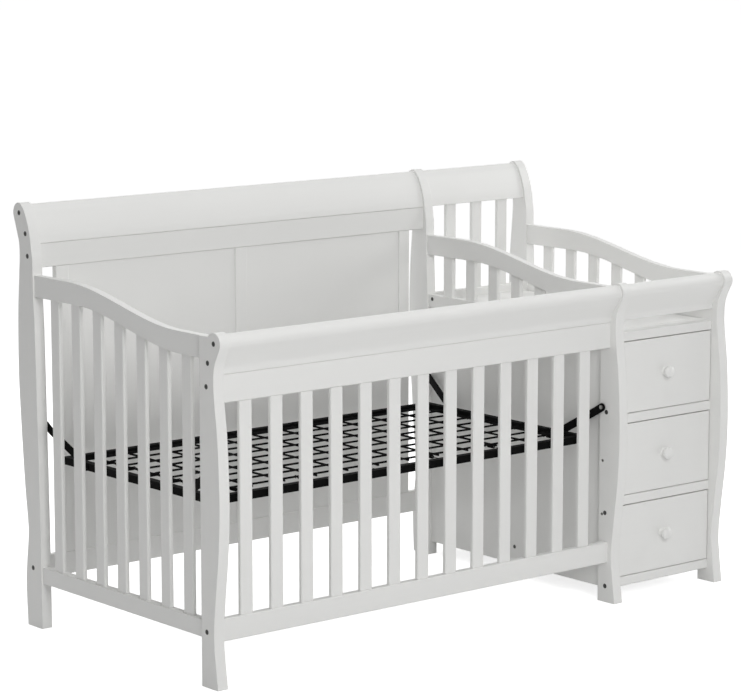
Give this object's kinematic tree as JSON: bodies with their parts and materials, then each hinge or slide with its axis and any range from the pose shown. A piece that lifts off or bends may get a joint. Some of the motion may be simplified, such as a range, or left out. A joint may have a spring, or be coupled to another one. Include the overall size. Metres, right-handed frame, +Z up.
{
  "type": "crib with attached changer",
  "caption": "White wooden crib with curled posts, slatted sides and a paneled headboard, joined to a chest of drawers with a railed changing tray on top.",
  "frame": {"origin": "the middle of the footprint, on the floor", "axes": "+X to the right seen from the front, +Y to the back, +Z up"},
  "size_m": [1.788, 0.9053, 1.138],
  "materials": {
    "frame_paint": "satin paint on solid wood",
    "panel_paint": "satin paint on board",
    "knob_paint": "smooth lacquer on a turned knob",
    "support_steel": "black coated steel",
    "bolt_steel": "dark coated steel",
    "nut_steel": "plain steel",
    "runner_steel": "white coated steel"
  },
  "bodies": {
    "crib_and_chest": {"post_front_left": "frame_paint", "post_front_middle": "frame_paint", "post_front_right": "frame_paint", "post_back_left": "frame_paint", "post_back_middle": "frame_paint", "post_back_right": "frame_paint", "left_end_top_rail": "frame_paint", "left_end_bottom_rail": "frame_paint", "left_end_slats": "frame_paint", "middle_end_top_rail": "frame_paint", "middle_end_guard_rail": "frame_paint", "middle_end_slats": "frame_paint", "right_end_top_rail": "frame_paint", "right_end_guard_rail": "frame_paint", "right_end_slats": "frame_paint", "front_crest": "frame_paint", "front_top_board": "frame_paint", "front_slats": "frame_paint", "front_bottom_rail": "frame_paint", "headboard_crest": "frame_paint", "headboard_top_board": "frame_paint", "headboard_stiles": "frame_paint", "headboard_panels": "panel_paint", "headboard_bottom_rail": "frame_paint", "changer_back_crest": "frame_paint", "changer_back_slats": "frame_paint", "changer_back_rail": "frame_paint", "changer_front_crest": "frame_paint", "changing_tray": "panel_paint", "tray_cleats": "frame_paint", "chest_side_panels": "panel_paint", "chest_back_panel": "panel_paint", "chest_cross_rails": "frame_paint", "chest_bottom": "panel_paint", "chest_runners": "runner_steel", "mattress_frame": "support_steel", "wire_grid": "support_steel", "spring_links": "support_steel", "hanger_straps": "support_steel", "strap_rivets": "support_steel", "hanger_bolts": "nut_steel", "hanger_inserts": "bolt_steel", "crib_bolts": "bolt_steel", "barrel_nuts": "nut_steel"},
    "top_drawer": {"top_drawer_front": "frame_paint", "top_drawer_box": "panel_paint", "top_drawer_base": "panel_paint", "top_drawer_runners": "runner_steel", "top_drawer_knob": "knob_paint"},
    "middle_drawer": {"middle_drawer_front": "frame_paint", "middle_drawer_box": "panel_paint", "middle_drawer_base": "panel_paint", "middle_drawer_runners": "runner_steel", "middle_drawer_knob": "knob_paint"},
    "bottom_drawer": {"bottom_drawer_front": "frame_paint", "bottom_drawer_box": "panel_paint", "bottom_drawer_base": "panel_paint", "bottom_drawer_runners": "runner_steel", "bottom_drawer_knob": "knob_paint"}
  },
  "joints": [
    {"name": "top_drawer_slide", "type": "slide", "parent": "crib_and_chest", "child": "top_drawer", "axis": [0, -1, 0], "range_m": [0, 0.4]},
    {"name": "middle_drawer_slide", "type": "slide", "parent": "crib_and_chest", "child": "middle_drawer", "axis": [0, -1, 0], "range_m": [0, 0.4]},
    {"name": "bottom_drawer_slide", "type": "slide", "parent": "crib_and_chest", "child": "bottom_drawer", "axis": [0, -1, 0], "range_m": [0, 0.4]}
  ]
}
